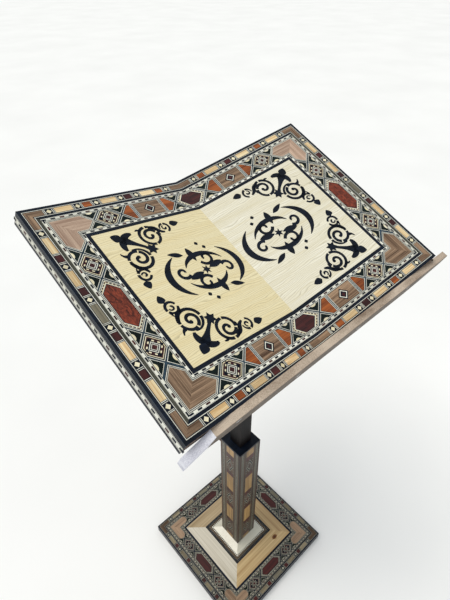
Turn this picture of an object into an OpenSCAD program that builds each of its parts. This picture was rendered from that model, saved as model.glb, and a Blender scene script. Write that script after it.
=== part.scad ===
// Floor-standing book stand: an inlaid V-shaped head on a post that slides in a square sleeve.
// Origin: centre of the base's underside. X = reader's right, Y = away from the reader, Z = up.

/* [Base] */
// Side of the square base
base_w = 300; // [240:5:400]
// Thickness of the core board
core_t = 17; // [12:0.5:30]
// Thickness of the black lipping round the core board
lipping_t = 2; // [1:0.5:5]
// Thickness of the inlaid sheet on the core board
base_inlay_t = 3; // [1.5:0.5:6]
// Width of the inlaid border, from the edge to the pine frame
base_border = 53.8; // [40:0.2:60]
// Rise of the pine frame from its outer to its inner edge
frame_rise = 7; // [2:0.5:15]

/* [Plinth] */
// Side of the square plinth inside the pine frame
plinth_w = 120; // [100:1:150]
// Thickness of the plinth block
plinth_t = 9.5; // [5:0.5:20]
// Thickness of the inlaid sheet on the plinth
plinth_inlay_t = 2; // [1:0.5:4]
// Side of the pale moulding round the column's foot
foot_w = 92; // [75:1:110]
// Height of the foot moulding where it meets the column
foot_h = 7.5; // [3:0.5:15]
// Height of the foot moulding's outer edge
foot_lip = 1; // [0.5:0.5:3]

/* [Column] */
// Outer side of the square column
column_w = 57.6; // [48:0.2:80]
// Thickness of the inlaid faces
veneer_t = 1.2; // [0.8:0.1:3]
// Thickness of the wooden walls
wall_t = 12.6; // [9:0.2:18]
// Height of the top of the walls above the floor
column_top = 426; // [350:1:500]
// Thickness of the black collar
collar_t = 4; // [2:0.5:10]
// Height of the glued block in the column's foot
foot_block_h = 30; // [20:1:50]

/* [Post] */
// Gap between the post and the column's wall, on each side
post_gap = 0.3; // [0.15:0.05:1]
// Length of the post inside the column at rest
post_engaged = 106; // [90:1:160]
// Chamfer on the post's lower edges
post_chamfer = 1.5; // [0.5:0.5:3]
// Depth of the mortise that takes the post's top
mortise_d = 25; // [18:1:40]

/* [Clamp] */
// Depth of the clamp's axis below the top of the walls
clamp_drop = 26; // [20:1:60]
// Diameter of the clamp screw
screw_d = 8; // [6:1:10]
// Diameter of the pressure pad
pad_d = 9.85; // [9:0.05:12]
// Thickness of the pressure pad
pad_t = 2.8; // [2.2:0.1:4]
// Diameter of the screw's turned tip
tip_d = 6; // [4:0.5:6]
// Depth of the tip's socket in the pad
socket_d = 1.4; // [1:0.1:1.8]
// Outer diameter of the brass insert
insert_d = 12; // [12:0.5:16]
// Length of the insert inside the wall
insert_l = 8.4; // [6:0.2:9]
// Diameter of the insert's flange
flange_d = 18; // [15:0.5:24]
// Thickness of the insert's flange
flange_t = 1.5; // [1:0.25:3]
// Diameter of the knob
knob_d = 38; // [30:1:50]
// Length of the knob
knob_l = 20; // [14:1:30]
// Gap between the flange and the knob when the clamp is tight
knob_gap = 2.7; // [1:0.1:5]
// Running clearance on each side of a turning or sliding round piece
run_clear = 0.07; // [0.05:0.01:0.1]

/* [Head] */
// Width of one leaf along its slope
leaf_w = 247.5; // [200:2.5:300]
// Depth of the leaves, from the ledge to the back edge
leaf_d = 332; // [260:2:400]
// Whole thickness of a leaf
leaf_t = 20; // [14:0.5:26]
// Thickness of the inlaid layer on a leaf
inlay_t = 3; // [1.5:0.5:5]
// Thickness of the chequered bands on the leaf's edges
band_t = 2; // [1:0.5:4]
// Width of the inlaid border round the page
page_border = 62; // [50:0.5:80]
// Rise of each leaf from the crease, in degrees
v_angle = 10.65; // [5:0.05:20]
// Slope of the head towards the reader, in degrees
tilt = 23; // [10:1:35]
// Height of the crease above the floor at its front end
crease_z = 805; // [700:1:900]
// Distance of the crease's front end in front of the column's axis
front_y = 149.5; // [120:0.5:180]

/* [Cradle] */
// Width of the plate under the crease
plate_w = 150; // [110:2:200]
// Depth of the plate under the crease
plate_d = 180; // [130:2:240]
// Thickness of the plate
plate_t = 12; // [8:1:20]
// Side of the square neck block
neck_w = 60; // [50:1:80]
// Height of the neck block's underside above the floor
neck_z = 790; // [740:1:795]
// Diameter of the neck's cross dowels
dowel_d = 6; // [5:1:8]

/* [Ledge] */
// Height of the ledge's top above the crease
ledge_up = 34; // [20:1:50]
// Thickness of the ledge
ledge_t = 10; // [9:0.5:20]
// Reach of the ledge to the reader's left of the crease
ledge_left = 250; // [235:1:320]
// Reach of the ledge to the reader's right of the crease
ledge_right = 281; // [235:1:320]
// Height of the ledge at its two tips
ledge_tip = 20; // [12:1:30]
// Length over which the ledge's lower edge rises to the tips
ledge_sweep = 95; // [60:1:120]
// Length of the separate pale block at the left tip
end_block_l = 41; // [25:1:55]
// Distance that the pale block swings out at its tip
end_flare = 4.5; // [0:0.5:8]

/* [Screws] */
// Shank diameter of the wood screws
wood_d = 4; // [3:0.5:5]
// Head diameter of the wood screws
head_d = 8; // [6:0.5:9]
// Length of the wood screws
wood_l = 38; // [30:1:45]
// Clearance round every fixed screw and dowel
fix_clear = 0.05; // [0.03:0.01:0.1]

/* [Hidden] */
$fn = 64;

eps = 0.01;
// Length of a cutting tool that has to pass right through
through = 1000;

// Base and plinth, as half sides and heights
base_r = base_w / 2;
base_top = core_t + base_inlay_t;
frame_r = base_r - base_border;
plinth_r = plinth_w / 2;
plinth_top = core_t + plinth_t + plinth_inlay_t;
foot_r = foot_w / 2;

// Column, from its outer face inwards
column_r = column_w / 2;
wall_r = column_r - veneer_t;
bore_r = wall_r - wall_t;
post_r = bore_r - post_gap;
collar_top = column_top + collar_t;
post_bottom = column_top - post_engaged;
post_top = neck_z + mortise_d;

// Clamp, along +Y from the post's back face outwards
clamp_z = column_top - clamp_drop;
pad_y = post_r + run_clear;
pad_back = pad_y + pad_t;
insert_y = column_r - insert_l;
knob_y = column_r + flange_t + knob_gap;
pad_bore_d = pad_d + 2 * run_clear;
grip_lobes = 6;
grip_d = 11;
grip_depth = 3.2;
screw_in_knob = 12;

// Head, in its own frame: x across, y up the slope, z out of the crease
crease_under = -leaf_t / cos(v_angle);
plate_under = crease_under - plate_t;
plate_y = leaf_d / 2;
wedge_start = 3;
neck_r = neck_w / 2;
neck_top = crease_z + leaf_d;
// Where the column's axis meets the plate's underside, measured up the slope
neck_foot_y = (front_y + plate_under * sin(tilt)) / cos(tilt);
dowel_spots = [[-post_r / 2.5, mortise_d * 0.26], [post_r / 2.5, mortise_d * 0.74]];
cradle_spot = neck_r * 0.7;
ledge_low = crease_under;
// Where the pale end block meets the long piece of the ledge
joint_x = end_block_l - ledge_left;
// The ledge's screws, as shares of the length that every leaf and both ends cover
ledge_spots = [-0.7, -0.26, 0.26, 0.7];
ledge_reach = min(leaf_w, ledge_left, ledge_right);
base_screw_r = bore_r * 0.55;
arc_steps = 12;

// --- shared shapes ---

// A square bar between two heights, given by its half side
module bar(r, z0, z1) {
    translate([-r, -r, z0]) cube([2 * r, 2 * r, z1 - z0]);
}

// A flat square ring between two heights
module ring(outer, inner, z0, z1) {
    difference() {
        bar(outer, z0, z1);
        bar(inner, z0 - 1, z1 + 1);
    }
}

// One mitred side of a square frame, on the -Y side; its profile is given as [distance out, height]
module mitred_side(profile, reach) {
    intersection() {
        translate([-reach, 0, 0]) rotate([90, 0, 90])
            linear_extrude(2 * reach) polygon([for (p = profile) [-p[0], p[1]]]);
        linear_extrude(through) polygon([[0, 0], [-2 * reach, -2 * reach], [2 * reach, -2 * reach]]);
    }
}

// A countersunk wood screw pointing up, with its head's face at the origin
module wood_screw(grow = 0) {
    cone = (head_d - wood_d) / 2;
    rotate_extrude() polygon([
        [0, 0], [head_d / 2 + grow, 0], [wood_d / 2 + grow, cone],
        [wood_d / 2 + grow, wood_l - wood_d / 2 + grow], [0, wood_l + grow]
    ]);
}

// Moves its children from the head's frame to the floor's
module in_head() {
    translate([0, -front_y, crease_z]) rotate([tilt, 0, 0]) children();
}

// Moves its children from the right leaf's frame to the floor's, or mirrors them onto the left leaf
module in_leaf(side) {
    in_head() mirror([side < 0 ? 1 : 0, 0, 0]) rotate([0, -v_angle, 0]) children();
}

// A slab of the leaf between two depths below its face, cut off square at the crease
module leaf_slab(u1, y0, y1, deep0, deep1) {
    translate([0, y1, 0]) rotate([90, 0, 0]) linear_extrude(y1 - y0) polygon([
        [-deep0 * tan(v_angle), -deep0], [u1, -deep0], [u1, -deep1], [-deep1 * tan(v_angle), -deep1]
    ]);
}

// --- base ---

module base_screw_set(grow = 0) {
    for (x = [-1, 1], y = [-1, 1])
        translate([x * base_screw_r, y * base_screw_r, 0]) wood_screw(grow);
}

module base_board() {
    color("#5b4a3c") difference() {
        bar(base_r - lipping_t, 0, core_t);
        base_screw_set(fix_clear);
        for (x = [-1, 1], y = [-1, 1])
            translate([x * base_screw_r, y * base_screw_r, -1]) cylinder(d = head_d + 2 * fix_clear, h = 1);
    }
}

module base_lipping() {
    inner = base_r - lipping_t;
    color("#14181d") for (a = [0:90:270]) rotate([0, 0, a])
        mitred_side([[inner, 0], [base_r, 0], [base_r, core_t], [inner, core_t]], base_r);
}

module base_marquetry() {
    color("#3a3c40") ring(base_r, frame_r, core_t, base_top);
}

module base_frame_side(turn, tone) {
    color(tone) rotate([0, 0, turn]) mitred_side([
        [plinth_r, core_t], [frame_r, core_t], [frame_r, base_top], [plinth_r, base_top + frame_rise]
    ], frame_r);
}

module plinth_block() {
    color("#4a3c30") ring(plinth_r, column_r, core_t, core_t + plinth_t);
}

module plinth_marquetry() {
    color("#2a2826") ring(plinth_r, column_r, core_t + plinth_t, plinth_top);
}

module foot_moulding() {
    color("#cfc8b4") for (a = [0:90:270]) rotate([0, 0, a]) mitred_side([
        [column_r, plinth_top], [foot_r, plinth_top], [foot_r, plinth_top + foot_lip],
        [column_r, plinth_top + foot_h]
    ], foot_r);
}

module foot_block() {
    color("#b8956a") difference() {
        bar(bore_r, core_t, core_t + foot_block_h);
        base_screw_set(fix_clear);
    }
}

module base_screws() {
    color("#c9c3b0") base_screw_set();
}

// --- column ---

// A front or back wall covers the ends of the two side walls
module wide_wall() {
    translate([-wall_r, -wall_r, core_t]) cube([2 * wall_r, wall_t, column_top - core_t]);
}

module side_wall() {
    translate([-wall_r, -bore_r, core_t]) cube([wall_t, 2 * bore_r, column_top - core_t]);
}

module wide_face() {
    translate([-column_r, -column_r, core_t]) cube([2 * column_r, veneer_t, column_top - core_t]);
}

module side_face() {
    translate([-column_r, -wall_r, core_t]) cube([veneer_t, 2 * wall_r, column_top - core_t]);
}

// Round tool along +Y at the clamp's height
module clamp_rod(d, y0, y1) {
    translate([0, y1, clamp_z]) rotate([90, 0, 0]) cylinder(d = d, h = y1 - y0);
}

module clamp_holes() {
    clamp_rod(pad_bore_d, bore_r - 1, insert_y);
    clamp_rod(insert_d + 2 * fix_clear, insert_y, column_r + 1);
}

module column_wall_back() {
    color("#6e5138") difference() {
        rotate([0, 0, 180]) wide_wall();
        clamp_holes();
    }
}

module column_face_back() {
    color("#7c6a52") difference() {
        rotate([0, 0, 180]) wide_face();
        clamp_holes();
    }
}

module column_collar() {
    color("#141b28") for (a = [0:90:270]) rotate([0, 0, a]) mitred_side([
        [bore_r, column_top], [column_r, column_top], [column_r, collar_top], [bore_r, collar_top]
    ], column_r);
}

// --- clamp ---

module clamp_insert() {
    color("#b8923f") difference() {
        union() {
            clamp_rod(insert_d, insert_y, column_r + flange_t);
            clamp_rod(flange_d, column_r, column_r + flange_t);
        }
        clamp_rod(screw_d + 2 * run_clear, insert_y - 1, column_r + flange_t + 1);
    }
}

module clamp_pad() {
    color("#2b2b2b") difference() {
        clamp_rod(pad_d, pad_y, pad_back);
        clamp_rod(tip_d + 2 * run_clear, pad_back - socket_d, pad_back + 1);
    }
}

module clamp_screw() {
    color("#a9a9a4") {
        clamp_rod(screw_d, pad_back + run_clear, knob_y + screw_in_knob);
        clamp_rod(tip_d, pad_back - socket_d + run_clear, pad_back + run_clear + eps);
    }
}

module clamp_knob() {
    waist = knob_d * 0.55;
    color("#3b2417") translate([0, 0, clamp_z]) rotate([-90, 0, 0]) difference() {
        translate([0, 0, knob_y]) rotate_extrude() polygon([
            [0, 0], [waist / 2, 0], [waist / 2, knob_l * 0.2], [knob_d / 2, knob_l * 0.4],
            [knob_d / 2, knob_l * 0.85], [knob_d / 2 - 3, knob_l], [0, knob_l]
        ]);
        for (i = [0:grip_lobes - 1]) rotate([0, 0, i * 360 / grip_lobes])
            translate([knob_d / 2 + grip_d / 2 - grip_depth, 0, knob_y - 1])
                cylinder(d = grip_d, h = knob_l + 2);
        translate([0, 0, knob_y - 1]) cylinder(d = screw_d + 2 * fix_clear, h = screw_in_knob + 1);
    }
}

// --- post and cradle ---

module dowel_set(grow = 0) {
    for (p = dowel_spots) translate([-neck_r, p[0], neck_z + p[1]]) rotate([0, 90, 0])
        cylinder(d = dowel_d + 2 * grow, h = neck_w);
}

module post() {
    c = post_chamfer;
    color("#2e241c") difference() {
        bar(post_r, post_bottom, post_top);
        dowel_set(fix_clear);
        for (a = [0:90:270]) rotate([0, 0, a]) translate([0, -post_r, post_bottom]) rotate([45, 0, 0])
            cube([through, c * sqrt(2), c * sqrt(2)], center = true);
    }
}

module cradle_screw_set(grow = 0) {
    in_head() for (x = [-1, 1], y = [-1, 1])
        translate([x * cradle_spot, neck_foot_y + y * cradle_spot, crease_under])
            rotate([180, 0, 0]) wood_screw(grow);
}

module neck_block() {
    color("#3a2a1e") difference() {
        bar(neck_r, neck_z, neck_top);
        in_head() translate([-through / 2, -through, plate_under]) cube([through, 3 * through, through]);
        bar(post_r, neck_z - 1, post_top);
        dowel_set(fix_clear);
        cradle_screw_set(fix_clear);
    }
}

module neck_dowels() {
    color("#d8b98a") dowel_set();
}

module cradle_plate() {
    color("#5a4330") difference() {
        in_head() translate([-plate_w / 2, plate_y - plate_d / 2, plate_under])
            cube([plate_w, plate_d, plate_t]);
        cradle_screw_set(fix_clear);
    }
}

module cradle_screws() {
    color("#c9c3b0") cradle_screw_set();
}

module cradle_wedge(side) {
    reach = plate_w / 2;
    color("#6b5138") in_head() mirror([side < 0 ? 1 : 0, 0, 0])
        translate([0, plate_y + plate_d / 2, crease_under]) rotate([90, 0, 0])
            linear_extrude(plate_d) polygon([
                [wedge_start, 0], [reach, 0], [reach, reach * tan(v_angle)],
                [wedge_start, wedge_start * tan(v_angle)]
            ]);
}

// --- leaves ---

module ledge_screw_set(grow = 0) {
    in_head() for (k = ledge_spots)
        translate([k * ledge_reach, -ledge_t, abs(k) * ledge_reach * tan(v_angle) + crease_under / 2])
            rotate([-90, 0, 0]) wood_screw(grow);
}

module leaf_core(side) {
    color("#8a6a48") difference() {
        in_leaf(side) leaf_slab(leaf_w - band_t, 0, leaf_d - band_t, inlay_t, leaf_t);
        ledge_screw_set(fix_clear);
    }
}

module page_slab(deep0, deep1) {
    leaf_slab(leaf_w - page_border, page_border, leaf_d - page_border, deep0, deep1);
}

module leaf_marquetry(side) {
    color("#4a4540") in_leaf(side) difference() {
        leaf_slab(leaf_w, 0, leaf_d, 0, inlay_t);
        translate([0, 0, 1]) page_slab(0, inlay_t + 2);
        translate([-page_border, page_border, -inlay_t - 1])
            cube([page_border, leaf_d - 2 * page_border, inlay_t + 2]);
    }
}

module page(side) {
    color("#e8dfbc") in_leaf(side) page_slab(0, inlay_t);
}

module side_band(side) {
    color("#2b2c2c") in_leaf(side) translate([leaf_w - band_t, 0, -leaf_t])
        cube([band_t, leaf_d, leaf_t - inlay_t]);
}

module back_band(side) {
    color("#2b2c2c") in_leaf(side) leaf_slab(leaf_w - band_t, leaf_d - band_t, leaf_d, inlay_t, leaf_t);
}

// --- ledge ---

// Half of the ledge's lower edge: level, then swept up to the tip along a sine
function sweep(reach) = [for (i = [0:arc_steps]) let (t = i / arc_steps)
    [reach - ledge_sweep * (1 - t), ledge_low + (ledge_up - ledge_tip - ledge_low) * (1 - cos(90 * t))]];

// The ledge's front outline, as [across, height above the crease]
function ledge_outline() = concat(
    sweep(ledge_right), [[ledge_right, ledge_up], [-ledge_left, ledge_up]],
    [for (i = [arc_steps:-1:0]) let (p = sweep(ledge_left)[i]) [-p[0], p[1]]]);

// Everything under the ledge's outline, cut to the depths that a plan gives
module ledge_stock(plan) {
    intersection() {
        translate([0, ledge_t, 0]) rotate([90, 0, 0]) linear_extrude(4 * ledge_t)
            polygon(ledge_outline());
        translate([0, 0, -through / 2]) linear_extrude(through) polygon(plan);
    }
}

module book_ledge() {
    color("#cdbba7") difference() {
        in_head() ledge_stock([[joint_x, 0], [joint_x, -ledge_t], [ledge_right, -ledge_t], [ledge_right, 0]]);
        ledge_screw_set(fix_clear);
    }
}

module ledge_end_block() {
    color("#d8d8e4") in_head() ledge_stock([
        [joint_x, 0], [-ledge_left, -end_flare], [-ledge_left, -end_flare - ledge_t], [joint_x, -ledge_t]
    ]);
}

module ledge_screws() {
    color("#c9c3b0") ledge_screw_set();
}

base_board();
base_lipping();
base_marquetry();
base_frame_side(0, "#c9a468");  // base_frame_front
base_frame_side(180, "#b8a07e");  // base_frame_back
base_frame_side(-90, "#d9cfb8");  // base_frame_left
base_frame_side(90, "#c2a574");  // base_frame_right
plinth_block();
plinth_marquetry();
foot_moulding();
foot_block();
base_screws();
color("#6e5138") wide_wall();  // column_wall_front
column_wall_back();
color("#6e5138") side_wall();  // column_wall_left
color("#6e5138") mirror([1, 0, 0]) side_wall();  // column_wall_right
color("#7c6a52") wide_face();  // column_face_front
column_face_back();
color("#7c6a52") side_face();  // column_face_left
color("#7c6a52") mirror([1, 0, 0]) side_face();  // column_face_right
column_collar();
clamp_insert();
clamp_pad();
clamp_screw();
clamp_knob();
post();
neck_block();
neck_dowels();
cradle_plate();
cradle_screws();
cradle_wedge(-1);  // cradle_wedge_left
cradle_wedge(1);  // cradle_wedge_right
leaf_core(-1);  // leaf_core_left
leaf_core(1);  // leaf_core_right
leaf_marquetry(-1);  // leaf_marquetry_left
leaf_marquetry(1);  // leaf_marquetry_right
page(-1);  // page_left
page(1);  // page_right
side_band(-1);  // side_band_left
side_band(1);  // side_band_right
back_band(-1);  // back_band_left
back_band(1);  // back_band_right
book_ledge();
ledge_end_block();
ledge_screws();
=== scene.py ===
"""Looks of an inlaid book stand: a V-shaped head on a sliding post in a square column.

Everything is laid out in millimetres in the plane of the panel that it decorates and is then
carried into the stand's frame, in metres: X to the reader's right, Y away, Z up.
"""
import logging
import math
import random
from dataclasses import dataclass, field
from enum import Enum

import bmesh
import bpy
from mathutils import Matrix, Vector


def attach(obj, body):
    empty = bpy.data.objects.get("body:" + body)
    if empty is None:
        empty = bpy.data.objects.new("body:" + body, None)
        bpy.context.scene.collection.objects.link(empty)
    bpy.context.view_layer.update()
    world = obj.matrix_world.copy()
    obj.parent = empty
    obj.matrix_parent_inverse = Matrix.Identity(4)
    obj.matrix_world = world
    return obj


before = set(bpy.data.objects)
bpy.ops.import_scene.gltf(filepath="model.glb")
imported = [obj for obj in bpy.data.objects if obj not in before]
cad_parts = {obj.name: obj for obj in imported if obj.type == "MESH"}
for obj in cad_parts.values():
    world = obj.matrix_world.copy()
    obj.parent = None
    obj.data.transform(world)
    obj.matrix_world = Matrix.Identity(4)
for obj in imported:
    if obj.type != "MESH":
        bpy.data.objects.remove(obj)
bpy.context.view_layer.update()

LOG = logging.getLogger("book_stand")
MM = 0.001
# slope of the head and rise of each leaf from the crease, in degrees
SLOPE = 23.0
RISE = 10.65
# front end of the crease, in millimetres
CREASE = (0.0, -149.5, 805.0)
LEDGE_THICK = 10.0
Point = tuple[float, float]


def linear(colour: str) -> tuple[float, float, float, float]:
    """Turns an sRGB hex colour into linear light.

    Args:
        colour: the colour as "#rrggbb".

    Returns:
        Red, green, blue and an alpha of 1.
    """
    parts = [int(colour[i:i + 2], 16) / 255 for i in (1, 3, 5)]
    return (*(c / 12.92 if c <= 0.04045 else ((c + 0.055) / 1.055) ** 2.4 for c in parts), 1.0)


def darker(colour: str, share: float) -> tuple[float, float, float, float]:
    """Returns a share of a hex colour's linear light."""
    return (*(c * share for c in linear(colour)[:3]), 1.0)


def add(tree: bpy.types.NodeTree, kind: str, inputs: dict | None = None, **settings) -> bpy.types.Node:
    """Adds one node with its settings, values and links.

    Args:
        tree: the node tree to add to.
        kind: the node's type without its "ShaderNode" prefix.
        inputs: socket name or number to a value, or to the output socket that feeds it.
        settings: attributes of the node.

    Returns:
        The new node.
    """
    node = tree.nodes.new("ShaderNode" + kind)
    for key, value in settings.items():
        setattr(node, key, value)
    for key, value in (inputs or {}).items():
        if isinstance(value, bpy.types.NodeSocket):
            tree.links.new(value, node.inputs[key])
        else:
            node.inputs[key].default_value = value
    return node


def ramp(tree: bpy.types.NodeTree, factor: bpy.types.NodeSocket,
         stops: list[tuple[float, tuple]]) -> bpy.types.NodeSocket:
    """Colours a value through a ramp.

    Args:
        tree: the node tree to add to.
        factor: the value to colour.
        stops: position and colour of each stop, in rising order.

    Returns:
        The ramp's colour socket.
    """
    node = add(tree, "ValToRGB", {0: factor})
    points = node.color_ramp.elements
    while len(points) < len(stops):
        points.new(1.0)
    for point, (place, colour) in zip(points, stops):
        point.position, point.color = place, colour
    return node.outputs[0]


def new_material(name: str) -> tuple[bpy.types.Material, bpy.types.NodeTree, bpy.types.Node]:
    """Starts a node material that holds only a Principled shader and its output.

    Args:
        name: the finish in a maker's words.

    Returns:
        The material, its node tree and the shader.
    """
    material = bpy.data.materials.new(name)
    material.use_nodes = True
    tree = material.node_tree
    tree.nodes.clear()
    shader = add(tree, "BsdfPrincipled")
    add(tree, "OutputMaterial", {0: shader.outputs[0]})
    return material, tree, shader


class Run(Enum):
    """Where grain runs: as each tile's own, or along a direction given by the turn, in degrees, that brings it to X."""
    TILE = None
    X = (0.0, 0.0, 0.0)
    Y = (0.0, 0.0, -90.0)
    Z = (0.0, 90.0, 0.0)
    LEAF_LEFT = (-SLOPE, -RISE, 0.0)
    LEAF_RIGHT = (-SLOPE, RISE, 0.0)


@dataclass(frozen=True)
class Timber:
    """Sliced or planed wood under varnish: long streaks, broad growth bands and short open pores.

    Sizes are the real ones in millimetres; pores finer than 0.4 mm are drawn at that width.
    """
    name: str
    pale: str
    dark: str
    streak: float = 0.9
    length: float = 45.0
    band: float = 7.0
    pores: float = 0.35
    spread: float = 0.22
    roughness: float = 0.38
    varnish: float = 0.35
    relief: float = 0.05
    gloss: float = 0.3
    line_gap: float = 0.0
    knot: tuple[float, float] | None = None
    run: Run = Run.TILE

    def along(self, run: Run) -> "Timber":
        """Returns the same wood with its grain along one axis of the stand."""
        return Timber(**{**self.__dict__, "name": f"{self.name}, {run.name.lower()}", "run": run})

    def coordinates(self, tree: bpy.types.NodeTree) -> bpy.types.NodeSocket:
        """Returns millimetres along the grain, across it, and a third value that sets boards apart."""
        if self.run is Run.TILE:
            return add(tree, "Attribute", attribute_name="grain").outputs["Vector"]
        turn = [math.radians(a) for a in self.run.value]
        place = add(tree, "TexCoord").outputs["Object"]
        node = add(tree, "Mapping", {"Vector": place, "Rotation": turn, "Scale": (1000, 1000, 1000)})
        return node.outputs[0]

    def noise(self, tree: bpy.types.NodeTree, place: bpy.types.NodeSocket, along: float, across: float,
              detail: float = 3.0, distortion: float = 0.0) -> bpy.types.NodeSocket:
        """Returns noise stretched to a length along the grain and a width across it, in millimetres."""
        scaled = add(tree, "Mapping", {"Vector": place, "Scale": (1 / along, 1 / across, 1 / across)})
        node = add(tree, "TexNoise", {"Vector": scaled.outputs[0], "Scale": 1.0, "Detail": detail,
                                      "Roughness": 0.6, "Distortion": distortion})
        return node.outputs[0]

    def colour(self, tree: bpy.types.NodeTree, place: bpy.types.NodeSocket) -> tuple:
        """Builds the wood's colour.

        Args:
            tree: the material's node tree.
            place: millimetres along and across the grain.

        Returns:
            The colour socket and the height socket for the relief.
        """
        streaks = self.noise(tree, place, self.length, self.streak)
        bands = self.noise(tree, place, self.length * 4, self.band, 2.0, 0.4)
        mixed = add(tree, "Math", {0: streaks, 1: bands}, operation="ADD").outputs[0]
        low, high = 1.0 - self.spread, 1.0 + self.spread
        spread = add(tree, "MapRange", {0: mixed, 1: low, 2: high, 3: 0.0, 4: 1.0}).outputs[0]
        body = ramp(tree, spread, [(0.0, linear(self.dark)), (1.0, linear(self.pale))])
        pore = self.noise(tree, place, 5.0, 0.4, 1.0)
        open_pores = add(tree, "MapRange", {0: pore, 1: 0.62, 2: 0.7, 3: 0.0, 4: self.pores}).outputs[0]
        marked = add(tree, "MixRGB", {0: open_pores, 1: body, 2: darker(self.dark, 0.45)}).outputs[0]
        parts = add(tree, "SeparateXYZ", {0: place}).outputs
        if self.line_gap:
            wander = self.noise(tree, place, self.length * 1.5, self.line_gap * 9, 2.0)
            count = add(tree, "Math", {0: parts[1], 1: 1 / self.line_gap}, operation="MULTIPLY").outputs[0]
            phase = add(tree, "Math", {0: wander, 1: 9.0, 2: count}, operation="MULTIPLY_ADD").outputs[0]
            turn = add(tree, "Math", {0: phase}, operation="FRACT").outputs[0]
            edge = add(tree, "MapRange", {0: turn, 1: 0.0, 2: 0.42, 3: 1.0, 4: 0.0}).outputs[0]
            shadowed = add(tree, "Math", {0: edge, 1: streaks, 2: 0.06}, operation="MULTIPLY_ADD",
                        use_clamp=True).outputs[0]
            marked = add(tree, "MixRGB", {0: shadowed, 1: marked, 2: darker(self.dark, 0.5)}).outputs[0]
        third = parts[2]
        if self.run is Run.TILE:
            chance = add(tree, "TexWhiteNoise", {"W": third}, noise_dimensions="1D").outputs["Value"]
            value = add(tree, "MapRange", {0: chance, 3: 0.82, 4: 1.14}).outputs[0]
            marked = add(tree, "HueSaturation", {"Color": marked, "Value": value}).outputs[0]
        if self.knot:
            eye = add(tree, "Mapping", {"Vector": place, "Location": (-self.knot[0] / 12, -self.knot[1] / 8, 0.0),
                                        "Scale": (1 / 12, 1 / 8, 0.0)}).outputs[0]
            away = add(tree, "VectorMath", {0: eye}, operation="LENGTH").outputs["Value"]
            wobble = add(tree, "Math", {0: streaks, 1: 0.5, 2: away}, operation="MULTIPLY_ADD").outputs[0]
            burnt = ramp(tree, wobble, [(0.5, linear("#6a4424")), (0.8, linear("#b08a58")), (1.0, (1, 1, 1, 1))])
            marked = add(tree, "MixRGB", {0: 1.0, 1: marked, 2: burnt}, blend_type="MULTIPLY").outputs[0]
        height = add(tree, "Math", {0: streaks, 1: open_pores}, operation="SUBTRACT").outputs[0]
        return marked, height

    def make(self) -> bpy.types.Material:
        """Returns the finished material."""
        material, tree, shader = new_material(self.name)
        colour, height = self.colour(tree, self.coordinates(tree))
        tree.links.new(colour, shader.inputs["Base Color"])
        rough = add(tree, "MapRange", {0: height, 3: self.roughness + 0.08, 4: self.roughness - 0.05})
        tree.links.new(rough.outputs[0], shader.inputs["Roughness"])
        bump = add(tree, "Bump", {"Height": height, "Strength": self.relief, "Distance": 0.3 * MM})
        tree.links.new(bump.outputs[0], shader.inputs["Normal"])
        shader.inputs["Coat Weight"].default_value = self.varnish
        shader.inputs["Coat Roughness"].default_value = 0.18
        shader.inputs["Specular IOR Level"].default_value = self.gloss
        return material


@dataclass(frozen=True)
class Burl(Timber):
    """Burl veneer: knotted, swirling figure with dark eyes about 3 mm wide."""

    def colour(self, tree: bpy.types.NodeTree, place: bpy.types.NodeSocket) -> tuple:
        """Builds swirls and eyes instead of straight grain; returns colour and height sockets."""
        swirl = self.noise(tree, place, 9.0, 5.0, 4.0, 1.8)
        body = ramp(tree, swirl, [(0.34, linear(self.dark)), (0.66, linear(self.pale))])
        scaled = add(tree, "Mapping", {"Vector": place, "Scale": (0.22, 0.3, 0.3)}).outputs[0]
        eyes = add(tree, "TexVoronoi", {"Vector": scaled, "Scale": 1.0}).outputs["Distance"]
        near = add(tree, "MapRange", {0: eyes, 1: 0.05, 2: 0.22, 3: 0.75, 4: 0.0}).outputs[0]
        return add(tree, "MixRGB", {0: near, 1: body, 2: darker(self.dark, 0.4)}).outputs[0], swirl


@dataclass(frozen=True)
class Metal:
    """Turned metal: fine rings of cutting marks in the roughness, about 0.5 mm apart."""
    name: str
    colour: str
    roughness: float

    def make(self) -> bpy.types.Material:
        """Returns the finished material."""
        material, tree, shader = new_material(self.name)
        place = add(tree, "TexCoord").outputs["Object"]
        marks = add(tree, "TexNoise", {"Vector": place, "Scale": 1.0 / (1.2 * MM), "Detail": 2.0}).outputs[0]
        rough = add(tree, "MapRange", {0: marks, 3: self.roughness - 0.08, 4: self.roughness + 0.1})
        tree.links.new(rough.outputs[0], shader.inputs["Roughness"])
        tone = ramp(tree, marks, [(0.2, darker(self.colour, 0.8)), (0.8, linear(self.colour))])
        tree.links.new(tone, shader.inputs["Base Color"])
        shader.inputs["Metallic"].default_value = 1.0
        return material


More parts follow.
